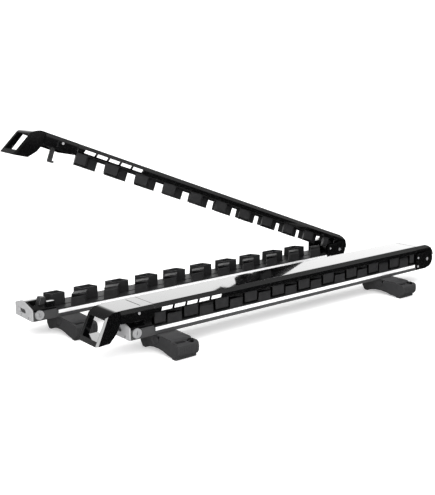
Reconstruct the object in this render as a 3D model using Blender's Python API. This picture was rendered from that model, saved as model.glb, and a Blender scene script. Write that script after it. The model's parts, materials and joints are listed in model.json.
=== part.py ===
"""Roof ski rack: a pair of clamp bars, the rear one open and the front one closed.

Each clamp bar is a slotted base rail with a long arm hinged at its right end.  Rubber teeth on
the rail and on the arm mesh when the arm is closed.  The left end has the latch and a loop handle,
and two feet under the rail slide in its slot and grip a roof crossbar that runs along X.
Sizes are in millimetres; MM turns them into metres.
X runs along the bars from the latch end to the hinge end, Y runs from front to rear, Z is up.
"""
import bmesh
import bpy
from math import cos, pi, radians, sin
from mathutils import Matrix, Vector

MM = 0.001
GAP = 0.3

# Where each clamp bar stands, and how far its arm is open
BAR_SHIFT = Vector((77.0, -195.0, 0.0))
CENTRE = Vector((390.74, -97.5, -30.0))
REAR_OPEN_DEG = 20.0

# Base rail and its teeth
WIDTH = 66.0
RAIL_START, RAIL_END = -4.0, 712.0
RAIL_TOP = 13.0
STRIP_LOW, STRIP_HIGH, STRIP_DEPTH = 6.5, 12.9, 1.5
STRIP_LENGTH = 708.0
SLOT_MOUTH, SLOT_WIDTH, SLOT_LIP, SLOT_TOP = 10.0, 22.0, 3.0, 9.0
PITCH = 70.0
TOOTH_COUNT = 10
FRONT_ROW = (3.0, 24.0)
REAR_ROW = (27.0, 60.0)
# Tooth outlines seen from above; the front row slants to the right towards the rear
LOWER_FRONT_TOOTH = ((26, 3), (57, 3), (76, 24), (43, 24))
LOWER_REAR_TOOTH = ((64, 27), (98, 27), (98, 60), (64, 60))
UPPER_FRONT_TOOTH = ((61.5, 3), (93, 3), (111, 24), (79.5, 24))
UPPER_REAR_TOOTH = ((31, 27), (61, 27), (61, 60), (31, 60))
LOWER_FRONT_TIP, LOWER_REAR_TIP, UPPER_TIP = 34.5, 36.6, 16.0
TOOTH_WEB = 1.0
TOOTH_ROOT = 0.4

# Latch end of the base
CAP_START, PLATE_THICK = -53.0, 2.7
CAP_END = -4.3
BODY_TOP = 17.0
HOUSING_END, HOUSING_STEP = -22.0, 20.0
ARCH = ((0, 21), (6, 23.5), (18, 27), (32, 30.6), (44, 30.6), (56, 27.5), (66, 24))
POCKET = (-46.3, -14.7, 13.0, 29.3)
POCKET_FLOOR = 5.5
STRIKER_SPAN = (14.0, 28.6)
LOCK_X, LOCK_Z, LOCK_RADIUS, LOCK_PROUD = -38.5, 10.6, 8.6, 2.0

# Arm
ARM_LOW, ARM_SHOULDER, ARM_TOP, ARM_BEVEL = 38.3, 47.0, 53.6, 4.0
ARM_WALL = 3.2
ARM_CAP_START, ARM_CAP_END, ARM_CAP_LOW = -68.0, -2.3, 31.5
HANDLE_SPAN = (3.0, 59.0)
HANDLE_BAR_FRONT, HANDLE_BAR_REAR = 8.0, 6.0
WINDOW_LOW, WINDOW_HIGH = 9.0, 42.0
BUTTON = (-71.5, -60.0, 24.0, 42.0, 34.5, 41.0)
HOOK_PIVOT = Vector((-46.0, 21.0, 42.0))
HOOK_SPAN = (15.0, 27.0)
HOOK_PIN_RADIUS = 2.0

# Hinge
HINGE = Vector((753.0, 33.0, 20.7))
KNUCKLE_RADIUS, CHEEK = 19.0, 9.0
PIN_RADIUS = 4.0

# Feet
FOOT_STARTS = (("left", -2.0), ("right", 583.0))
FOOT_WIDTH = 43.0
FOOT_LOW = -30.0
BOLT_Y = 33.0
KNOB = Vector((32.0, -56.0, -1.2))
KNOB_RADIUS = 6.0

FINISHES = {
    "gloss_black": ((0.006, 0.006, 0.007), 0.08, 0.0),
    "dark_plastic": ((0.05, 0.05, 0.052), 0.45, 0.0),
    "foot_plastic": ((0.07, 0.07, 0.072), 0.5, 0.0),
    "rubber": ((0.03, 0.03, 0.031), 0.7, 0.0),
    "silver_trim": ((0.85, 0.85, 0.86), 0.3, 1.0),
    "light_plate": ((0.6, 0.6, 0.61), 0.4, 0.3),
    "steel": ((0.62, 0.62, 0.63), 0.25, 1.0),
}


def clearScene():
    for thing in list(bpy.data.objects):
        bpy.data.objects.remove(thing, do_unlink=True)


def makeCollection(name):
    collection = bpy.data.collections.new(name)
    bpy.context.scene.collection.children.link(collection)
    return collection


def makeFinish(name):
    colour, roughness, metallic = FINISHES[name]
    finish = bpy.data.materials.get(name)
    if finish is None:
        finish = bpy.data.materials.new(name)
        finish.use_nodes = True
        shader = finish.node_tree.nodes["Principled BSDF"]
        shader.inputs["Base Color"].default_value = (*colour, 1.0)
        shader.inputs["Roughness"].default_value = roughness
        shader.inputs["Metallic"].default_value = metallic
    return finish


class Place:
    """An empty that carries pieces; origin is its spot in the clamp bar's own millimetres."""

    def __init__(self, name, origin=Vector(), under=None):
        self.origin = Vector(origin)
        self.empty = bpy.data.objects.new(name, None)
        parts.objects.link(self.empty)
        if under is not None:
            self.empty.parent = under.empty
            self.empty.location = (self.origin - under.origin) * MM

    def put(self, name, mesh, finishName, collection=None):
        mesh.transform(Matrix.Scale(MM, 4) @ Matrix.Translation(-self.origin))
        mesh.name = name
        piece = bpy.data.objects.new(name, mesh)
        (collection or parts).objects.link(piece)
        piece.parent = self.empty
        if finishName:
            mesh.materials.append(makeFinish(finishName))
        return piece

    def combine(self, piece, operation, mesh):
        """Cuts or joins a hidden solid, with a live exact Boolean."""
        tool = self.put(piece.name + "_cutter", mesh, None, cutters)
        tool.hide_render = True
        tool.display_type = "WIRE"
        boolean = piece.modifiers.new(operation.lower(), "BOOLEAN")
        boolean.operation = operation
        boolean.solver = "EXACT"
        boolean.object = tool

    def cut(self, piece, *meshes):
        for mesh in meshes:
            self.combine(piece, "DIFFERENCE", mesh)

    def join(self, piece, *meshes):
        for mesh in meshes:
            self.combine(piece, "UNION", mesh)


def finishMesh(work):
    bmesh.ops.recalc_face_normals(work, faces=work.faces)
    mesh = bpy.data.meshes.new("solid")
    work.to_mesh(mesh)
    work.free()
    return mesh


def block(x0, x1, y0, y1, z0, z1):
    work = bmesh.new()
    size = Matrix.Diagonal((x1 - x0, y1 - y0, z1 - z0, 1.0))
    middle = Matrix.Translation(((x0 + x1) / 2, (y0 + y1) / 2, (z0 + z1) / 2))
    bmesh.ops.create_cube(work, size=1.0, matrix=middle @ size)
    return finishMesh(work)


def rod(axis, centre, radius, low, high, sides=24):
    """A round bar along Y or Z; centre gives its other two coordinates."""
    work = bmesh.new()
    turn = Matrix.Rotation(pi / 2, 4, "X") if axis == "Y" else Matrix.Identity(4)
    middle = (low + high) / 2
    spot = (centre[0], middle, centre[1]) if axis == "Y" else (centre[0], centre[1], middle)
    bmesh.ops.create_cone(work, cap_ends=True, segments=sides, radius1=radius, radius2=radius,
                          depth=high - low, matrix=Matrix.Translation(spot) @ turn)
    return finishMesh(work)


def prism(axis, low, high, *loops):
    """A flat outline, with any inner loops as holes, given thickness along X, Y or Z.

    Loops are (y, z) points for X, (x, z) points for Y and (x, y) points for Z.
    """
    curve = bpy.data.curves.new("outline", "CURVE")
    curve.dimensions = "2D"
    curve.fill_mode = "BOTH"
    curve.extrude = (high - low) / 2
    for loop in loops:
        spline = curve.splines.new("POLY")
        spline.points.add(len(loop) - 1)
        for point, (u, v) in zip(spline.points, loop):
            point.co = (u, v, 0.0, 1.0)
        spline.use_cyclic_u = True
    flat = bpy.data.objects.new("outline", curve)
    bpy.context.scene.collection.objects.link(flat)
    graph = bpy.context.evaluated_depsgraph_get()
    mesh = bpy.data.meshes.new_from_object(flat.evaluated_get(graph))
    bpy.data.objects.remove(flat, do_unlink=True)
    turns = {
        "X": Matrix(((0, 0, 1, 0), (1, 0, 0, 0), (0, 1, 0, 0), (0, 0, 0, 1))),
        "Y": Matrix(((1, 0, 0, 0), (0, 0, -1, 0), (0, 1, 0, 0), (0, 0, 0, 1))),
        "Z": Matrix.Identity(4),
    }
    along = {"X": Vector((1, 0, 0)), "Y": Vector((0, 1, 0)), "Z": Vector((0, 0, 1))}[axis]
    mesh.transform(Matrix.Translation(along * (low + high) / 2) @ turns[axis])
    work = bmesh.new()
    work.from_mesh(mesh)
    bmesh.ops.remove_doubles(work, verts=work.verts, dist=0.01)
    return finishMesh(work)


def arc(centre, radius, startDeg, endDeg, steps):
    turns = [radians(startDeg + (endDeg - startDeg) * i / steps) for i in range(steps + 1)]
    return [(centre[0] + radius * cos(t), centre[1] + radius * sin(t)) for t in turns]


def toothedStrip(place, name, outline, firstPitch, count, span, root, tip):
    """A thin rubber web with a row of blocks on it, trimmed at the ends of the rail."""
    up = 1 if tip > root else -1
    start, end = ARM_CAP_END + 0.5, RAIL_END - 1.5
    web = place.put(name, block(start, end, *span, *sorted((root, root + up * TOOTH_WEB))), "rubber")
    loops = []
    for i in range(firstPitch, firstPitch + count):
        loop = []
        for x, y in outline:
            corner = (min(max(x + PITCH * i, start + 1), end - 2.5), y)
            if corner not in loop:
                loop.append(corner)
        loops.append(loop)
    place.join(web, prism("Z", *sorted((root + up * TOOTH_ROOT, tip)), *loops))


def armSection(low):
    return [(ARM_BEVEL, ARM_TOP), (WIDTH - ARM_BEVEL, ARM_TOP), (WIDTH, ARM_SHOULDER),
            (WIDTH, low), (0, low), (0, ARM_SHOULDER)]


def makeRail(base, prefix):
    middle = WIDTH / 2
    mouth, slot = SLOT_MOUTH / 2, SLOT_WIDTH / 2
    section = [(0, 0), (middle - mouth, 0), (middle - mouth, SLOT_LIP), (middle - slot, SLOT_LIP),
               (middle - slot, SLOT_TOP), (middle + slot, SLOT_TOP), (middle + slot, SLOT_LIP),
               (middle + mouth, SLOT_LIP), (middle + mouth, 0), (WIDTH, 0), (WIDTH, RAIL_TOP),
               (STRIP_DEPTH, RAIL_TOP), (STRIP_DEPTH, STRIP_LOW), (0, STRIP_LOW)]
    base.put(prefix + "base_rail", prism("X", RAIL_START, RAIL_END, section), "dark_plastic")
    strip = block(0, STRIP_LENGTH, 0, STRIP_DEPTH - GAP, STRIP_LOW + GAP, STRIP_HIGH)
    base.put(prefix + "trim_strip", strip, "silver_trim")

    root = RAIL_TOP + GAP
    toothedStrip(base, prefix + "lower_teeth_front", LOWER_FRONT_TOOTH, 0, TOOTH_COUNT,
                 FRONT_ROW, root, LOWER_FRONT_TIP)
    toothedStrip(base, prefix + "lower_teeth_rear", LOWER_REAR_TOOTH, -1, TOOTH_COUNT,
                 REAR_ROW, root, LOWER_REAR_TIP)


def makeLatchEnd(base, lock, prefix):
    bodyStart = CAP_START + PLATE_THICK + GAP
    outline = [(0, 0), (WIDTH, 0)] + list(reversed(ARCH))
    plate = base.put(prefix + "end_plate",
                     prism("X", CAP_START, CAP_START + PLATE_THICK, outline), "light_plate")
    keyhole = [(27, 9.5), (46, 9.5), (48, 12), (50.5, 19.5), (46.5, 19.5), (45, 17), (27, 17), (25, 13)]
    through = (CAP_START - 1, bodyStart)
    base.cut(plate, prism("X", *through, keyhole))
    for y in (15.0, 45.0):
        base.cut(plate, block(*through, y - 2, y + 2, 1.5, 6.5))

    x0, x1, y0, y1 = POCKET
    body = base.put(prefix + "latch_body",
                    block(bodyStart, CAP_END, 0, WIDTH, 0, BODY_TOP), "dark_plastic")
    base.cut(body, block(x0, x1, y0, y1, POCKET_FLOOR, BODY_TOP + 5),
             rod("Y", (LOCK_X, LOCK_Z), LOCK_RADIUS + GAP, -5, y0 - 1, 32))
    shell = [(0, BODY_TOP + GAP), (WIDTH, BODY_TOP + GAP)] + list(reversed(ARCH))
    housing = base.put(prefix + "latch_housing", prism("X", bodyStart, HOUSING_END, shell),
                       "gloss_black")
    base.join(housing, block(HOUSING_END - 3, CAP_END, 0, WIDTH, BODY_TOP + GAP, HOUSING_STEP),
              block(-21, -6, FRONT_ROW[0], 12, HOUSING_STEP - 1, ARM_CAP_LOW - GAP))
    base.cut(housing, block(x0, x1, y0, y1, BODY_TOP - 2, ARM_LOW),
             rod("Y", (LOCK_X, LOCK_Z), LOCK_RADIUS + GAP, -5, y0 - 1, 32))
    striker = [(-32, 12), (-32, 24), (-28, 38), (-19, 38), (-15.2, 30), (-15.2, 12)]
    base.put(prefix + "striker", prism("Y", *STRIKER_SPAN, striker), "steel")

    cylinder = rod("Y", (LOCK_X, LOCK_Z), LOCK_RADIUS, -LOCK_PROUD, y0 - 1 - GAP, 32)
    piece = lock.put(prefix + "lock_cylinder", cylinder, "steel")
    lock.cut(piece, block(LOCK_X - 0.8, LOCK_X + 0.8, -5, 1, LOCK_Z - 4, LOCK_Z + 4))


def makeHingeBase(base, prefix):
    axis = (HINGE.x, HINGE.z)
    start = RAIL_END + GAP
    cheek = [(start, 0), (axis[0] - 6, 0)] + arc(axis, KNUCKLE_RADIUS, -90, 105, 13)
    cheek += [(axis[0] - 18, 36.5), (start, 36.5)]
    bracket = base.put(prefix + "hinge_bracket", prism("Y", 0, WIDTH, cheek), "gloss_black")
    inside = (CHEEK, WIDTH - CHEEK)
    base.cut(bracket, block(start - 5, 800, *inside, RAIL_TOP, 60),
             block(axis[0] - KNUCKLE_RADIUS - 3, 800, *inside, -5, RAIL_TOP + 2),
             rod("Y", axis, PIN_RADIUS + GAP, -5, WIDTH + 5))
    base.put(prefix + "hinge_pin", rod("Y", axis, PIN_RADIUS, 0.8, WIDTH - 0.8), "steel")


def makeFoot(foot, jaw, knob, prefix, side, start):
    end = start + FOOT_WIDTH
    name = prefix + side + "_"
    profile = [(44, -GAP), (46, -10), (44.5, -21), (38, FOOT_LOW), (30, FOOT_LOW), (24, -24.5),
               (10, -22), (-5, -21.5), (-20, -23), (-34, -26.5), (-47, -28.5), (-47, -4),
               (-44, -1.2), (-20, -1.2), (-5, -GAP)]
    saddle = foot.put(name + "saddle", prism("X", start, end, profile), "foot_plastic")
    boltX = start + FOOT_WIDTH / 2
    foot.cut(saddle, rod("Z", (boltX, BOLT_Y), 4.3, -12.6, 5, 16))
    bolt = foot.put(name + "t_bolt", rod("Z", (boltX, BOLT_Y), 4.0, -12.2, SLOT_LIP + 1, 16), "steel")
    foot.join(bolt, block(boltX - 7, boltX + 7, BOLT_Y - 9, BOLT_Y + 9,
                          SLOT_LIP + GAP, SLOT_TOP - GAP))
    pad = [(23, -24.7), (10, -22.3), (-5, -21.8), (-20, -23.3), (-33, -26.7), (-33, -28.7),
           (-20, -25.3), (-5, -23.8), (10, -24.3), (23, -26.7)]
    foot.put(name + "rubber_pad", prism("X", start + 3, end - 3, pad), "rubber")

    back = -47 - GAP
    grip = [(back, -1.5), (-60, -1.5), (-64.5, -4.5), (-66, -11), (-65, -19), (-61, -24),
            (-58, -25), (-58, FOOT_LOW), (back, FOOT_LOW)]
    clamp = jaw.put(name + "clamp_jaw", prism("X", start, end, grip), "foot_plastic")
    jaw.cut(clamp, block(start + 4, start + 22, -58, back - 1.5, -5, 5),
            rod("Z", (start + KNOB.x, KNOB.y), KNOB_RADIUS + GAP, -8.5, 5, 20))
    knob.put(name + "knob", rod("Z", (start + KNOB.x, KNOB.y), KNOB_RADIUS, -8, 0.6, 20), "gloss_black")


def makeArm(arm, prefix):
    wall = ARM_WALL
    inside = [(ARM_BEVEL + wall, ARM_TOP - wall), (WIDTH - ARM_BEVEL - wall, ARM_TOP - wall),
              (WIDTH - wall, ARM_SHOULDER - 1), (WIDTH - wall, ARM_LOW + wall),
              (wall, ARM_LOW + wall), (wall, ARM_SHOULDER - 1)]
    beam = prism("X", ARM_CAP_END + GAP, RAIL_END, armSection(ARM_LOW), inside)
    arm.put(prefix + "arm_beam", beam, "gloss_black")

    root = ARM_LOW - GAP
    toothedStrip(arm, prefix + "upper_teeth_front", UPPER_FRONT_TOOTH, -1, TOOTH_COUNT + 1,
                 FRONT_ROW, root, UPPER_TIP)
    toothedStrip(arm, prefix + "upper_teeth_rear", UPPER_REAR_TOOTH, 0, TOOTH_COUNT,
                 REAR_ROW, root, UPPER_TIP)

    cap = arm.put(prefix + "arm_latch_cap",
                  prism("X", ARM_CAP_START, ARM_CAP_END, armSection(ARM_CAP_LOW)), "gloss_black")
    x0, x1, y0, y1, z0, z1 = BUTTON
    arm.cut(cap, block(-60, -6, 8, WIDTH - 8, ARM_CAP_LOW - 5, 49),
            block(ARM_CAP_START - 3, -58, y0 - GAP, y1 + GAP, z0 - GAP, z1 + GAP),
            rod("Y", (HOOK_PIVOT.x, HOOK_PIVOT.z), HOOK_PIN_RADIUS + GAP, 3.7, WIDTH - 3.7, 16))
    arm.put(prefix + "hook_pin",
            rod("Y", (HOOK_PIVOT.x, HOOK_PIVOT.z), HOOK_PIN_RADIUS, 4, WIDTH - 4, 16), "steel")

    foot = ARM_CAP_START - GAP
    side = [(foot, ARM_TOP), (-83.5, ARM_TOP), (-94, 45), (-114.5, 1), (-89, 2.5), (-76, 16),
            (foot, 33)]
    handle = arm.put(prefix + "arm_handle", prism("Y", *HANDLE_SPAN, side), "gloss_black")
    rearBar = HANDLE_SPAN[1] - HANDLE_BAR_REAR
    lighten = [(-84, WINDOW_HIGH), (-104, -5), (-50, -5), (-50, WINDOW_HIGH)]
    arm.cut(handle, block(-130, -50, HANDLE_SPAN[0] + HANDLE_BAR_FRONT, rearBar,
                          WINDOW_LOW, WINDOW_HIGH),
            prism("Y", rearBar - 1, HANDLE_SPAN[1] + 5, lighten))

    axis = (HINGE.x, HINGE.z)
    inner = arc(axis, KNUCKLE_RADIUS + 1, 90, 24, 6)
    outer = [(773.4, 29), (770, 38), (763.5, 46), (754, 51.5), (743, ARM_TOP)]
    cover = [(RAIL_END + GAP, ARM_TOP), (RAIL_END + GAP, inner[0][1])] + inner + outer
    hingeCap = arm.put(prefix + "arm_hinge_cap", prism("Y", 0, WIDTH, cover), "gloss_black")
    knuckle = [(axis[0] + KNUCKLE_RADIUS * 0.9, inner[0][1] + 3),
               (axis[0] - KNUCKLE_RADIUS, inner[0][1] + 3)] + arc(axis, KNUCKLE_RADIUS, 180, 390, 14)
    arm.join(hingeCap, prism("Y", CHEEK + GAP, WIDTH - CHEEK - GAP, knuckle))
    slope = (ARM_TOP - ARM_SHOULDER) / ARM_BEVEL
    corner = [(-2, ARM_SHOULDER - 2 * slope), (6, ARM_SHOULDER + 6 * slope), (6, 65), (-2, 65)]
    corners = [prism("X", RAIL_END - 5, 790, [(side(y), z) for y, z in corner])
               for side in (lambda y: y, lambda y: WIDTH - y)]
    arm.cut(hingeCap, rod("Y", axis, PIN_RADIUS + GAP, -5, WIDTH + 5), *corners)


def makeLatch(hook, button, prefix):
    outline = [(-51, 46.5), (-40.5, 46.5), (-37, 34), (-36.6, 10.5), (-32.8, 10.5), (-32.8, 7),
               (-40.6, 7), (-40.6, 30), (-50, 33)]
    piece = hook.put(prefix + "latch_hook", prism("Y", *HOOK_SPAN, outline), "steel")
    hook.cut(piece, rod("Y", (HOOK_PIVOT.x, HOOK_PIVOT.z), HOOK_PIN_RADIUS + GAP, 5, 40, 16))
    button.put(prefix + "release_button", block(*BUTTON), "dark_plastic")


def makeClampBar(prefix, shift, openDeg):
    base = Place(prefix + "base_place")
    base.empty.location = (shift - CENTRE) * MM
    lock = Place(prefix + "lock_place", (LOCK_X, 0, LOCK_Z), base)
    makeRail(base, prefix)
    makeLatchEnd(base, lock, prefix)
    makeHingeBase(base, prefix)
    for side, start in FOOT_STARTS:
        foot = Place(prefix + side + "_foot_place", (start, 0, 0), base)
        jaw = Place(prefix + side + "_jaw_place", (start, 0, 0), foot)
        knob = Place(prefix + side + "_knob_place", Vector((start, 0, 0)) + KNOB, jaw)
        makeFoot(foot, jaw, knob, prefix, side, start)
    arm = Place(prefix + "arm_place", HINGE, base)
    arm.empty.rotation_euler = (0, radians(openDeg), 0)
    hook = Place(prefix + "hook_place", HOOK_PIVOT, arm)
    button = Place(prefix + "button_place", (BUTTON[0], BUTTON[2], BUTTON[4]), arm)
    makeArm(arm, prefix)
    makeLatch(hook, button, prefix)


clearScene()
parts = makeCollection("roof_ski_rack")
cutters = makeCollection("cutters")
makeClampBar("rear_", Vector((0, 0, 0)), REAR_OPEN_DEG)
makeClampBar("front_", BAR_SHIFT, 0.0)
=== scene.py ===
import json
from math import cos, pi, radians, sin

import bmesh
import bpy
from mathutils import Matrix, Vector


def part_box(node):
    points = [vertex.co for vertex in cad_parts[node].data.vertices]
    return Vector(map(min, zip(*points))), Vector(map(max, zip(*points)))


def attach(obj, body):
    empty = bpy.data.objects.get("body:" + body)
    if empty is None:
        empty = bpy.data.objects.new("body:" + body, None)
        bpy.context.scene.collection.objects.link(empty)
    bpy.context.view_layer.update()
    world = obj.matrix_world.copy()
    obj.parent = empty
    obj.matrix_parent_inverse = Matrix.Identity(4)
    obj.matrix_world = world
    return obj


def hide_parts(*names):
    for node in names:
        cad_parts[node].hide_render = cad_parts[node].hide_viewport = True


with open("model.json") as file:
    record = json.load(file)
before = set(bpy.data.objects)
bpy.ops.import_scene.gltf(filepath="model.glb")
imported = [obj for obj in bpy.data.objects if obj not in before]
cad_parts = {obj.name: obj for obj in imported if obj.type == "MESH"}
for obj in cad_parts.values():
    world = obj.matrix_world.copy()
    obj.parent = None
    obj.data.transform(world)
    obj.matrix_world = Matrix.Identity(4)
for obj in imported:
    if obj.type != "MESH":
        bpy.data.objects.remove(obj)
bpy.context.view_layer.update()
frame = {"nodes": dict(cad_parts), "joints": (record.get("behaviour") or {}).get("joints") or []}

mm = 0.001
near = 0.1

# Camera
shot = {"spot": (-1.0426, -1.1450, 0.4559), "yaw": 0.68927, "pitch": 0.21318,
        "lens": 57.45, "sensor": 36.0, "near": 0.05, "far": 200.0}


def placeCamera():
    camera = bpy.data.objects.new("camera", bpy.data.cameras.new("camera"))
    bpy.context.scene.collection.objects.link(camera)
    camera.data.lens = shot["lens"]
    camera.data.sensor_width = shot["sensor"]
    camera.data.clip_start = shot["near"]
    camera.data.clip_end = shot["far"]
    yaw, pitch = shot["yaw"], shot["pitch"]
    look = Vector((sin(yaw) * cos(pitch), cos(yaw) * cos(pitch), -sin(pitch)))
    camera.location = shot["spot"]
    camera.rotation_euler = look.to_track_quat("-Z", "Y").to_euler()
    bpy.context.scene.camera = camera


placeCamera()


# Shader maths: a socket that can be added, subtracted and scaled like a number
class Wire:
    def __init__(self, tree, socket):
        self.tree = tree
        self.socket = socket

    def node(self, kind, settings=None, values=None, out=0):
        made = self.tree.nodes.new(kind)
        for name, value in (settings or {}).items():
            if name == "stops":
                stops = made.color_ramp.elements
                stops[0].position, shade = value[0]
                stops[0].color = (shade, shade, shade, 1.0)
                stops[1].position, shade = value[-1]
                stops[1].color = (shade, shade, shade, 1.0)
                for spot, shade in value[1:-1]:
                    stops.new(spot).color = (shade, shade, shade, 1.0)
            else:
                setattr(made, name, value)
        for name, value in (values or {}).items():
            if isinstance(value, Wire):
                self.tree.links.new(value.socket, made.inputs[name])
            else:
                made.inputs[name].default_value = value
        return Wire(self.tree, made.outputs[out])

    def maths(self, operation, first, second=0.0):
        return self.node("ShaderNodeMath", {"operation": operation}, {0: first, 1: second})

    def __add__(self, other):
        return self.maths("ADD", self, other)

    def __radd__(self, other):
        return self.maths("ADD", other, self)

    def __sub__(self, other):
        return self.maths("SUBTRACT", self, other)

    def __rsub__(self, other):
        return self.maths("SUBTRACT", other, self)

    def __mul__(self, other):
        return self.maths("MULTIPLY", self, other)

    def __rmul__(self, other):
        return self.maths("MULTIPLY", other, self)

    def noise(self, scale, detail=2.0, roughness=0.5):
        return self.node("ShaderNodeTexNoise", None,
                         {"Vector": self, "Scale": scale, "Detail": detail, "Roughness": roughness})

    def stretched(self, scale):
        return self.node("ShaderNodeMapping", None, {"Vector": self, "Scale": scale})

    def ramp(self, *stops):
        return self.node("ShaderNodeValToRGB", {"stops": stops}, {"Fac": self})

    def tint(self, low, high):
        return self.node("ShaderNodeMix", {"data_type": "RGBA"},
                         {0: self, 6: (*low, 1.0), 7: (*high, 1.0)}, 2)

    def bump(self, strength, depth):
        return self.node("ShaderNodeBump", None,
                         {"Height": self, "Strength": strength, "Distance": depth})

    def into(self, socket):
        self.tree.links.new(self.socket, socket)


def startFinish(name):
    finish = bpy.data.materials.new(name)
    finish.use_nodes = True
    tree = finish.node_tree
    shader = tree.nodes["Principled BSDF"]
    place = Wire(tree, tree.nodes.new("ShaderNodeTexCoord").outputs["Object"])
    return finish, shader.inputs, place


glossLook = {"low": (0.0012, 0.0012, 0.0013), "high": (0.003, 0.003, 0.0032), "rough": 0.045,
             "peel": 420.0, "peelDepth": 0.0003, "coatRough": 0.03}


def glossFinish(name, coat, specular):
    finish, shader, place = startFinish(name)
    cloudy = place.noise(34.0, 3.0, 0.55)
    dust = place.noise(1700.0, 1.0).ramp((0.66, 0.0), (0.74, 1.0)) * cloudy.ramp((0.45, 0.0), (0.7, 1.0))
    cloudy.tint(glossLook["low"], glossLook["high"]).into(shader["Base Color"])
    (glossLook["rough"] + cloudy * 0.04 + dust * 0.12).into(shader["Roughness"])
    peel = place.noise(glossLook["peel"], 2.0) + dust * 0.6
    peel.bump(0.05, glossLook["peelDepth"]).into(shader["Normal"])
    shader["Coat Weight"].default_value = coat
    shader["Coat Roughness"].default_value = glossLook["coatRough"]
    shader["Specular IOR Level"].default_value = specular
    return finish


mouldLook = {"grain": 2300.0, "speck": 5200.0, "depth": 0.00016}


def mouldedFinish(name, low, high, roughness):
    finish, shader, place = startFinish(name)
    grain = place.noise(mouldLook["grain"], 3.0, 0.6)
    flow = place.stretched((30.0, 90.0, 90.0)).noise(1.0, 4.0, 0.6)
    specks = place.noise(mouldLook["speck"], 1.0).ramp((0.62, 0.0), (0.72, 1.0))
    (flow * 0.7 + specks * 0.3).tint(low, high).into(shader["Base Color"])
    (roughness - 0.08 + grain * 0.12 + flow * 0.06).into(shader["Roughness"])
    (grain + specks * 0.3).bump(0.35, mouldLook["depth"]).into(shader["Normal"])
    return finish


rubberLook = {"low": (0.012, 0.012, 0.0125), "high": (0.030, 0.030, 0.031), "rough": 0.42, "depth": 0.00018}


def rubberFinish():
    finish, shader, place = startFinish("toothRubber")
    bloom = place.noise(60.0, 4.0, 0.65)
    pores = place.noise(3600.0, 2.0, 0.7)
    scuff = place.stretched((60.0, 700.0, 160.0)).noise(1.0, 3.0).ramp((0.58, 0.0), (0.76, 1.0))
    (bloom * 0.65 + scuff * 0.35).tint(rubberLook["low"], rubberLook["high"]).into(shader["Base Color"])
    (rubberLook["rough"] + pores * 0.12 + scuff * 0.08).into(shader["Roughness"])
    (pores + bloom * 0.4).bump(0.4, rubberLook["depth"]).into(shader["Normal"])
    return finish


brushLook = {"wear": 140.0, "depth": 0.00003}


def brushedFinish(name, low, high, metallic, roughness, grainDirection):
    finish, shader, place = startFinish(name)
    lines = place.stretched(grainDirection).noise(1.0, 4.0, 0.7)
    wear = place.noise(brushLook["wear"], 3.0, 0.6).ramp((0.52, 0.0), (0.75, 1.0))
    (lines * 0.8 + wear * 0.2).tint(low, high).into(shader["Base Color"])
    (roughness - 0.06 + lines * 0.12 + wear * 0.06).into(shader["Roughness"])
    lines.bump(0.3, brushLook["depth"]).into(shader["Normal"])
    shader["Metallic"].default_value = metallic
    return finish


finishes = {
    "gloss": glossFinish("glossShell", 1.0, 0.5),
    "cover": glossFinish("glossCover", 0.3, 0.4),
    "plastic": mouldedFinish("railPlastic", (0.040, 0.040, 0.041), (0.070, 0.070, 0.071), 0.46),
    "foot": mouldedFinish("footPlastic", (0.022, 0.022, 0.023), (0.042, 0.042, 0.043), 0.5),
    "rubber": rubberFinish(),
    # The trim strip is silver. Its near-white, non-metallic colour is partly painted reflection: it stands in
    # for the bright shine of the metal.
    "silverPaintedShine": brushedFinish("stripSilverPaintedShine", (0.86, 0.86, 0.87), (0.97, 0.97, 0.97), 0.0, 0.34,
                            (12.0, 900.0, 2400.0)),
    "plate": brushedFinish("endPlateMetal", (0.36, 0.36, 0.37), (0.50, 0.50, 0.50), 0.2, 0.38,
                           (900.0, 26.0, 1300.0)),
    "steel": brushedFinish("steel", (0.50, 0.50, 0.51), (0.72, 0.72, 0.73), 0.6, 0.3,
                           (900.0, 900.0, 40.0)),
    "darkSteel": brushedFinish("darkSteel", (0.03, 0.03, 0.031), (0.07, 0.07, 0.071), 0.4, 0.28,
                               (900.0, 900.0, 40.0)),
    "print": mouldedFinish("markPrint", (0.78, 0.78, 0.78), (0.92, 0.92, 0.92), 0.4),
}
print("finishes ready")


# Where each clamp bar stands: its own millimetres to the frame's metres
railStart = -4.0


def barPlaces(prefix):
    corner = Vector(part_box(prefix + "base_rail")[0])
    toBase = Matrix.Translation(corner) @ Matrix.Scale(mm, 4) @ Matrix.Translation((-railStart, 0, 0))
    swing = next(j for j in frame["joints"] if j["name"] == prefix + "arm_swing")
    hinge = Vector(swing["pos_m"])
    turn = Matrix.Rotation(radians(-swing["range_deg"][0]), 4, "Y")
    toArm = Matrix.Translation(hinge) @ turn @ Matrix.Translation(-hinge) @ toBase
    return {"prefix": prefix, "base": toBase, "arm": toArm}


# Shape helpers, all in a clamp bar's own millimetres
def addBlock(work, x, y, z):
    size = Matrix.Diagonal((x[1] - x[0], y[1] - y[0], z[1] - z[0], 1.0))
    middle = Matrix.Translation(((x[0] + x[1]) / 2, (y[0] + y[1]) / 2, (z[0] + z[1]) / 2))
    bmesh.ops.create_cube(work, size=1.0, matrix=middle @ size)


def addSlab(work, axis, low, high, outline):
    # a flat outline pushed along one axis
    spots = {"X": lambda u, v: (low, u, v), "Y": lambda u, v: (u, low, v), "Z": lambda u, v: (u, v, low)}
    push = {"X": (high - low, 0, 0), "Y": (0, high - low, 0), "Z": (0, 0, high - low)}[axis]
    verts = [work.verts.new(spots[axis](u, v)) for u, v in outline]
    face = work.faces.new(verts)
    made = bmesh.ops.extrude_face_region(work, geom=[face])["geom"]
    moved = [g for g in made if isinstance(g, bmesh.types.BMVert)]
    bmesh.ops.translate(work, verts=moved, vec=push)
    bmesh.ops.recalc_face_normals(work, faces=work.faces)
    return verts + moved


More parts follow.
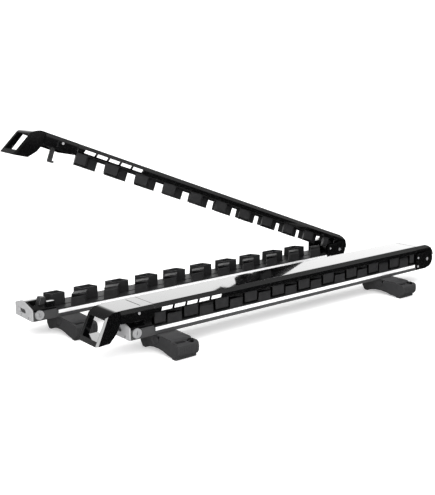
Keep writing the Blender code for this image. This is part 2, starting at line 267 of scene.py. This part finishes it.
def addRound(work, axis, centre, radius, low, high, sides):
    turn = {"X": Matrix.Rotation(pi / 2, 4, "Y"), "Y": Matrix.Rotation(pi / 2, 4, "X"),
            "Z": Matrix.Identity(4)}[axis]
    middle = (low + high) / 2
    spot = {"X": (middle, *centre), "Y": (centre[0], middle, centre[1]), "Z": (*centre, middle)}[axis]
    return bmesh.ops.create_cone(work, cap_ends=True, segments=sides, radius1=radius, radius2=radius,
                                 depth=high - low, matrix=Matrix.Translation(spot) @ turn)["verts"]


def takeNode(name, toWorld):
    # a copy of a CAD node's mesh with its flat faces joined up again
    work = bmesh.new()
    work.from_mesh(frame["nodes"][name].data)
    bmesh.ops.transform(work, matrix=toWorld.inverted(), verts=work.verts)
    bmesh.ops.remove_doubles(work, verts=work.verts, dist=0.01)
    bmesh.ops.dissolve_limit(work, angle_limit=radians(0.5), verts=work.verts, edges=work.edges)
    return work


def looseObject(work, name):
    mesh = bpy.data.meshes.new(name)
    work.to_mesh(mesh)
    work.free()
    thing = bpy.data.objects.new(name, mesh)
    bpy.context.scene.collection.objects.link(thing)
    return thing


def carve(work, tool, operation="DIFFERENCE"):
    body, cutter = looseObject(work, "blank"), looseObject(tool, "cutter")
    cut = body.modifiers.new("cut", "BOOLEAN")
    cut.operation = operation
    cut.solver = "EXACT"
    cut.object = cutter
    graph = bpy.context.evaluated_depsgraph_get()
    mesh = bpy.data.meshes.new_from_object(body.evaluated_get(graph))
    carved = bmesh.new()
    carved.from_mesh(mesh)
    for thing in (body, cutter):
        bpy.data.objects.remove(thing, do_unlink=True)
    return carved


edgeAngle = radians(28)


def bevelEdges(work, edges, offset, segments):
    bmesh.ops.bevel(work, geom=edges, offset=offset, offset_type="OFFSET", affect="EDGES",
                    segments=segments, profile=0.5, material=-1)


def keepPiece(work, name, place, body, finish, nodes=(), edge=0.5, segments=3):
    bmesh.ops.transform(work, matrix=place, verts=work.verts)
    piece = looseObject(work, name)
    piece.data.materials.clear()
    piece.data.materials.append(finishes[finish])
    piece.data.shade_smooth()
    rounding = piece.modifiers.new("edge rounding", "BEVEL")
    rounding.width = edge * mm
    rounding.segments = segments
    rounding.limit_method = "ANGLE"
    rounding.angle_limit = edgeAngle
    flow = piece.modifiers.new("even shading", "WEIGHTED_NORMAL")
    flow.keep_sharp = True
    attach(piece, body)
    if nodes:
        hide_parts(*nodes)


def keepPlain(place, prefix, rows):
    # pieces that are a CAD node with its edges rounded
    for node, name, body, slotName, finish, edge in rows:
        keepPiece(takeNode(prefix + node, place), prefix + name, place, body, finish,
                  [prefix + node], edge=edge)


# Rubber teeth: blocks on a thin web, outlines seen from above. The front rows slant and have a slot along
# their tip, with the lip before it lower; the rear rows have a pocket in their tip
teeth = {"pitch": 70.0, "start": -1.8, "end": 710.5, "web": 1.0, "sink": 0.6, "lean": 0.96, "corner": 1.8,
         "lip": 0.9, "slot": (6.4, 9.6), "slotDepth": 9.0, "pocketRim": 2.2, "pocketDraft": 0.6,
         "pocketDepth": 12.0, "backLine": 50.0, "drop": 3.6, "startTrim": 1.0, "endTrim": 2.5}
toothRows = (
    ("lower_teeth_front", "base", ((26, 3), (57, 3), (76, 24), (43, 24)), 13.3, 34.5, 0, 10, 4.6),
    ("lower_teeth_rear", "base", ((63, 27), (99, 27), (99, 60), (63, 60)), 13.3, 36.6, -1, 10, None),
    ("upper_teeth_front", "arm", ((61.5, 3), (93, 3), (111, 24), (79.5, 24)), 38.0, 16.0, -1, 11, 2.6),
    ("upper_teeth_rear", "arm", ((31, 27), (61, 27), (61, 60), (31, 60)), 38.0, 16.0, 0, 10, None),
)


def addPocket(work, upper):
    back = [v for v in upper if v.co.y > teeth["backLine"]]
    bmesh.ops.translate(work, verts=back, vec=(0, 0, -teeth["drop"]))
    work.normal_update()
    crown = max(work.faces, key=lambda f: f.calc_center_median().z)
    bmesh.ops.inset_individual(work, faces=[crown], thickness=teeth["pocketRim"], depth=0.0)
    bmesh.ops.inset_individual(work, faces=[crown], thickness=teeth["pocketDraft"],
                               depth=-teeth["pocketDepth"])


def addSlot(work, height, step):
    low, high = teeth["slot"]
    for y in (low, high):
        bmesh.ops.bisect_plane(work, geom=work.verts[:] + work.edges[:] + work.faces[:],
                               plane_co=(0, y, 0), plane_no=(0, 1, 0))
    work.normal_update()
    slot = [f for f in work.faces if f.normal.z > 0.9 and low < f.calc_center_median().y < high]
    made = bmesh.ops.extrude_face_region(work, geom=slot)["geom"]
    floor = [g for g in made if isinstance(g, bmesh.types.BMVert)]
    bmesh.ops.translate(work, verts=floor, vec=(0, 0, -teeth["slotDepth"]))
    lip = [v for v in work.verts if v.co.y < low + near and v.co.z > height - near]
    bmesh.ops.translate(work, verts=lip, vec=(0, 0, -step))
    bmesh.ops.recalc_face_normals(work, faces=work.faces)


def addTooth(work, outline, height, step):
    verts = addSlab(work, "Z", teeth["web"] - teeth["sink"], height, outline)
    middle = sum((v.co for v in verts), Vector()) / len(verts)
    middle.z = 0.0
    upper = [v for v in verts if v.co.z > height / 2]
    narrow = Matrix.Diagonal((teeth["lean"], 1.0, 1.0, 1.0))
    lean = Matrix.Translation(middle) @ narrow @ Matrix.Translation(-middle)
    bmesh.ops.transform(work, matrix=lean, verts=upper)
    work.normal_update()
    if step is None:
        addPocket(work, upper)
    else:
        addSlot(work, height, step)
    ends = [e for e in work.edges if len(e.link_faces) == 2 and e.is_convex and e.calc_face_angle() > 0.5
            and abs(e.verts[0].co.z - e.verts[1].co.z) > height * 0.7]
    bevelEdges(work, ends, teeth["corner"], 3)


def buildTeeth(bar):
    left, right = teeth["start"] + teeth["startTrim"], teeth["end"] - teeth["endTrim"]
    for row, place, outline, root, tip, first, count, step in toothRows:
        work = bmesh.new()
        for i in range(first, first + count):
            corners = []
            for x, y in outline:
                spot = (min(max(x + teeth["pitch"] * i, left), right), y)
                if spot not in corners:
                    corners.append(spot)
            single = bmesh.new()
            addTooth(single, corners, abs(tip - root), step)
            mesh = bpy.data.meshes.new("tooth")
            single.to_mesh(mesh)
            single.free()
            work.from_mesh(mesh)
            bpy.data.meshes.remove(mesh)
        ys = [y for x, y in outline]
        addBlock(work, (teeth["start"], teeth["end"]), (min(ys), max(ys)), (0.0, teeth["web"]))
        hanging = tip < root
        flip = Matrix.Diagonal((1, 1, -1 if hanging else 1, 1))
        bmesh.ops.transform(work, matrix=Matrix.Translation((0, 0, root)) @ flip, verts=work.verts)
        if hanging:
            bmesh.ops.reverse_faces(work, faces=work.faces)
        node = bar["prefix"] + row
        body = "bases" if place == "base" else bar["prefix"] + "arm"
        keepPiece(work, node + "_moulding", bar[place], body, "rubber", [node],
                  edge=teeth["lip"], segments=2)


# Base rail, its bright strip, the latch end and the hinge end
screwLook = {"height": 0.9, "sides": 24, "socket": 0.42, "draft": 0.05, "socketDepth": 0.7}
hingeLook = {"screws": ((719.0, 27.6), (719.0, 8.0)), "screwRadius": 2.6}


def addScrew(work, centre, radius):
    # a low round head with a socket, on the front face y = 0
    head = addRound(work, "Y", centre, radius, -screwLook["height"], 0.0, screwLook["sides"])
    top = [f for f in {f for v in head for f in v.link_faces} if f.normal.y < -0.9]
    bmesh.ops.inset_individual(work, faces=top, thickness=radius * screwLook["socket"], depth=0.0)
    bmesh.ops.inset_individual(work, faces=top, thickness=screwLook["draft"], depth=-screwLook["socketDepth"])


def buildBase(bar):
    p = bar["prefix"]
    keepPlain(bar["base"], p, (
        ("base_rail", "rail_moulding", "bases", "dark_plastic", "plastic", 0.7),
        # the strip's near-white colour is partly painted reflection of the silver trim
        ("trim_strip", "bright_strip", "bases", "silver_trim", "silverPaintedShine", 0.35),
        ("latch_body", "latch_body_moulding", "bases", "dark_plastic", "plastic", 0.9),
        ("latch_housing", "latch_housing_shell", "bases", "gloss_black", "gloss", 1.4),
        ("end_plate", "end_plate_panel", "bases", "light_plate", "plate", 0.5),
        ("striker", "striker_plate", "bases", "steel", "darkSteel", 1.5),
        ("lock_cylinder", "lock_barrel", p + "lock", "steel", "steel", 0.3),
    ))


def buildHinge(bar):
    p = bar["prefix"]
    keepPlain(bar["base"], p, (
        ("hinge_bracket", "hinge_bracket_shell", "bases", "gloss_black", "gloss", 1.0),
        ("hinge_pin", "hinge_pin_bar", "bases", "steel", "steel", 0.5),
    ))
    keepPlain(bar["arm"], p, (
        ("arm_hinge_cap", "arm_hinge_cover", p + "arm", "gloss_black", "gloss", 1.2),
    ))
    screws = bmesh.new()
    for centre in hingeLook["screws"]:
        addScrew(screws, centre, hingeLook["screwRadius"])
    keepPiece(screws, p + "hinge_screws", bar["base"], "bases", "steel", edge=0.2, segments=2)


# Feet
footStarts = {"left": -2.0, "right": 583.0}
footLook = {"width": 43.0, "groove": (11.0, -1.5, -17.5), "grooveDepth": 1.2,
            "tab": (8.6, -2.2, -15.2), "tabInset": 0.1, "tabThick": 3.0, "curveSteps": 12,
            "cover": ((-46.2, -3.0), (-46.2, -1.6), (-43.5, 1.0), (-4.0, 1.8), (-1.2, 0.6), (-1.2, -3.0)),
            "coverInset": 0.8, "ribStart": 5.0, "ribStop": 4.0, "ribStep": 3.6, "ribHalf": 0.3,
            "ribDepth": (-70.0, -64.4), "ribHeight": (-18.0, -5.0)}


def addUShape(work, x, halfWidth, top, low):
    # a tongue with a round lower end, centred on y = 0
    steps = footLook["curveSteps"]
    curve = [(halfWidth * cos(pi + pi * i / steps), low + halfWidth + halfWidth * sin(pi + pi * i / steps))
             for i in range(steps + 1)]
    addSlab(work, "X", x[0], x[1], [(-halfWidth, top)] + curve + [(halfWidth, top)])


def buildFoot(bar, side):
    place = bar["base"]
    start = footStarts[side]
    end = start + footLook["width"]
    name = bar["prefix"] + side + "_"
    saddle = takeNode(name + "saddle", place)
    depth = footLook["grooveDepth"]
    for x in ((start - 1, start + depth), (end - depth, end + 1)):
        groove = bmesh.new()
        addUShape(groove, x, *footLook["groove"])
        saddle = carve(saddle, groove)
    keepPiece(saddle, name + "saddle_moulding", place, name + "foot", "foot",
              [name + "saddle"], edge=0.9)
    tabs = bmesh.new()
    inset, thick = footLook["tabInset"], footLook["tabThick"]
    for x in ((start + inset, start + thick), (end - thick, end - inset)):
        addUShape(tabs, x, *footLook["tab"])
    keepPiece(tabs, name + "saddle_tabs", place, name + "foot", "foot")
    cover = bmesh.new()
    addSlab(cover, "X", start + footLook["coverInset"], end - footLook["coverInset"], footLook["cover"])
    keepPiece(cover, name + "foot_cover", place, name + "foot", "foot", edge=0.8)

    jaw = takeNode(name + "clamp_jaw", place)
    grooves = bmesh.new()
    x = start + footLook["ribStart"]
    while x < end - footLook["ribStop"]:
        addBlock(grooves, (x - footLook["ribHalf"], x + footLook["ribHalf"]),
                 footLook["ribDepth"], footLook["ribHeight"])
        x += footLook["ribStep"]
    jaw = carve(jaw, grooves)
    keepPiece(jaw, name + "jaw_moulding", place, name + "jaw", "foot",
              [name + "clamp_jaw"], edge=0.8)
    keepPlain(place, name, (
        ("knob", "knob_cap", name + "knob", "gloss_black", "cover", 0.7),
        ("t_bolt", "t_bolt_steel", name + "foot", "steel", "steel", 0.4),
        ("rubber_pad", "pad_moulding", name + "foot", "rubber", "rubber", 0.4),
    ))


# Arm. The latch cap and the loop handle are one shell, bent round where they meet
armLook = {"seam": (-24.9, -23.1, 10.0, 54.0), "seamDepth": 2.0, "handleEdge": -68.4, "overlap": -67.0,
           "bendLine": -83.5, "bend": 9.0, "front": 3.0, "middle": 30.0, "openingFront": 7.0,
           "rim": 3.6, "rimAngle": 1.0, "rimLeast": 4.0,
           "rib": ((-43.0, -41.6), (-0.6, 0.4), (35.0, 47.5)), "screw": (-33.0, 44.0), "screwRadius": 2.4}
marks = {"count": 5, "first": 12.0, "pitch": 27.0, "length": 22.0, "slant": 2.0,
         "low": 40.2, "high": 46.2, "face": (-0.25, 0.4)}


def makeHandleShell(place, p):
    cap = takeNode(p + "arm_latch_cap", place)
    handle = takeNode(p + "arm_handle", place)
    for v in handle.verts:
        if v.co.x > armLook["handleEdge"]:
            v.co.x = armLook["overlap"]
        elif armLook["front"] + near < v.co.y < armLook["middle"]:
            v.co.y = armLook["openingFront"]
    top = max(v.co.z for v in cap.verts)
    cap = carve(cap, handle, "UNION")
    bend = [e for e in cap.edges if all(abs(v.co.x - armLook["bendLine"]) < near for v in e.verts)
            and min(v.co.z for v in e.verts) > top - near]
    bevelEdges(cap, bend, armLook["bend"], 8)
    cap.normal_update()
    rim = [e for e in cap.edges if len(e.link_faces) == 2 and e.is_convex
           and e.calc_face_angle() > armLook["rimAngle"] and e.calc_length() > armLook["rimLeast"]
           and max(v.co.x for v in e.verts) < armLook["bendLine"] + near
           and max(v.co.y for v in e.verts) < armLook["front"] + near
           and any(f.normal.x < -0.7 for f in e.link_faces)]
    bevelEdges(cap, rim, armLook["rim"], 1)
    x0, x1, y0, y1 = armLook["seam"]
    seam = bmesh.new()
    addBlock(seam, (x0, x1), (y0, y1), (top - armLook["seamDepth"], top + 5))
    return carve(cap, seam)


def buildArm(bar):
    p, place, body = bar["prefix"], bar["arm"], bar["prefix"] + "arm"
    keepPlain(place, p, (("arm_beam", "arm_shell", body, "gloss_black", "gloss", 1.0),))
    keepPiece(makeHandleShell(place, p), p + "handle_shell", place, body, "gloss",
              [p + "arm_latch_cap", p + "arm_handle"], edge=1.5, segments=2)
    rib = bmesh.new()
    addBlock(rib, *armLook["rib"])
    keepPiece(rib, p + "cap_rib", place, body, "gloss", segments=2)
    keepPlain(place, p, (
        ("hook_pin", "hook_pin_bar", body, "steel", "steel", 0.3),
        ("latch_hook", "latch_hook_plate", p + "hook", "steel", "darkSteel", 0.8),
        ("release_button", "release_button_cap", p + "button", "dark_plastic", "plastic", 1.0),
    ))
    printed = bmesh.new()
    for i in range(marks["count"]):
        left = marks["first"] + marks["pitch"] * i
        right = left + marks["length"]
        addSlab(printed, "Y", *marks["face"],
                [(left, marks["low"]), (right, marks["low"]),
                 (right + marks["slant"], marks["high"]), (left + marks["slant"], marks["high"])])
    keepPiece(printed, p + "arm_marks", place, body, "print", edge=0.12, segments=2)
    screw = bmesh.new()
    addScrew(screw, armLook["screw"], armLook["screwRadius"])
    keepPiece(screw, p + "arm_screw", place, body, "steel", edge=0.2, segments=2)


for prefix in ("rear_", "front_"):
    bar = barPlaces(prefix)
    buildBase(bar)
    buildTeeth(bar)
    buildHinge(bar)
    for side in footStarts:
        buildFoot(bar, side)
    buildArm(bar)
    print(prefix + "bar built")


# Studio. The world has a dark ground and a bright panel behind the object, for the gloss black to mirror
studio = {"floorSize": 60.0, "horizon": 0.3, "panel": 1.6, "dim": 0.10, "ground": 0.02, "panelTurn": 0.72,
          "sidePanel": 0.22, "sidePanelWay": (0.62, -0.54, 0.57), "sun": 3.6, "sunSpread": 110.0,
          "keyPower": 16.0, "keySpot": (-1.7, -0.95, 0.5), "keySize": 0.9,
          "fillPower": 26.0, "fillSpot": (-0.5, -2.4, 1.0), "fillSize": 1.6, "lift": 0.35}


def addSoftbox(name, spot, power, size, mirrored):
    light = bpy.data.lights.new(name, "AREA")
    light.energy = power
    light.size = size
    lamp = bpy.data.objects.new(name, light)
    bpy.context.scene.collection.objects.link(lamp)
    lamp.location = spot
    lamp.rotation_euler = (-Vector(spot)).to_track_quat("-Z", "Y").to_euler()
    lamp.visible_glossy = mirrored


def buildStudio():
    work = bmesh.new()
    bmesh.ops.create_grid(work, x_segments=1, y_segments=1, size=studio["floorSize"])
    floor = looseObject(work, "floor")
    finish, shader, place = startFinish("floorPaint")
    place.noise(3.0, 3.0).tint((0.88, 0.88, 0.88), (0.9, 0.9, 0.9)).into(shader["Base Color"])
    shader["Roughness"].default_value = 0.9
    shader["Emission Color"].default_value = (1.0, 1.0, 1.0, 1.0)
    shader["Emission Strength"].default_value = studio["lift"]
    floor.data.materials.append(finish)
    floor.visible_glossy = False
    world = bpy.data.worlds.new("studio")
    world.use_nodes = True
    bpy.context.scene.world = world
    tree = world.node_tree
    way = Wire(tree, tree.nodes.new("ShaderNodeTexCoord").outputs["Generated"])
    height = way.node("ShaderNodeSeparateXYZ", None, {"Vector": way}, "Z")
    turn = studio["panelTurn"]
    facing = way.node("ShaderNodeVectorMath", {"operation": "DOT_PRODUCT"},
                      {0: way, 1: (sin(turn), cos(turn), 0.0)}, "Value")
    above = (height * 20.0 + 1.6).ramp((0.0, 0.0), (1.0, 1.0))
    low = height.ramp((0.0, 1.0), (0.08, 1.0), (0.22, 0.0), (1.0, 0.0))
    wall = height.ramp((0.0, 1.0), (0.30, 1.0), (0.50, 0.0), (1.0, 0.0)) * facing.ramp(
        (0.0, 0.0), (0.62, 0.0), (0.82, 1.0), (1.0, 1.0))
    side = way.node("ShaderNodeVectorMath", {"operation": "DOT_PRODUCT"},
                    {0: way, 1: studio["sidePanelWay"]}, "Value").ramp(
        (0.0, 0.0), (0.80, 0.0), (0.90, 1.0), (1.0, 1.0))
    glow = above * (studio["dim"] + low * studio["horizon"] + wall * studio["panel"]
                    + side * studio["sidePanel"]) + studio["ground"]
    background = tree.nodes["Background"]
    background.inputs["Color"].default_value = (1.0, 1.0, 1.0, 1.0)
    glow.into(background.inputs["Strength"])
    overhead = bpy.data.objects.new("overhead", bpy.data.lights.new("overhead", "SUN"))
    bpy.context.scene.collection.objects.link(overhead)
    overhead.data.energy = studio["sun"]
    overhead.data.angle = radians(studio["sunSpread"])
    overhead.visible_glossy = False
    addSoftbox("key", studio["keySpot"], studio["keyPower"], studio["keySize"], True)
    addSoftbox("fill", studio["fillSpot"], studio["fillPower"], studio["fillSize"], False)
    bpy.context.scene.view_settings.view_transform = "Standard"


buildStudio()
print("studio ready")
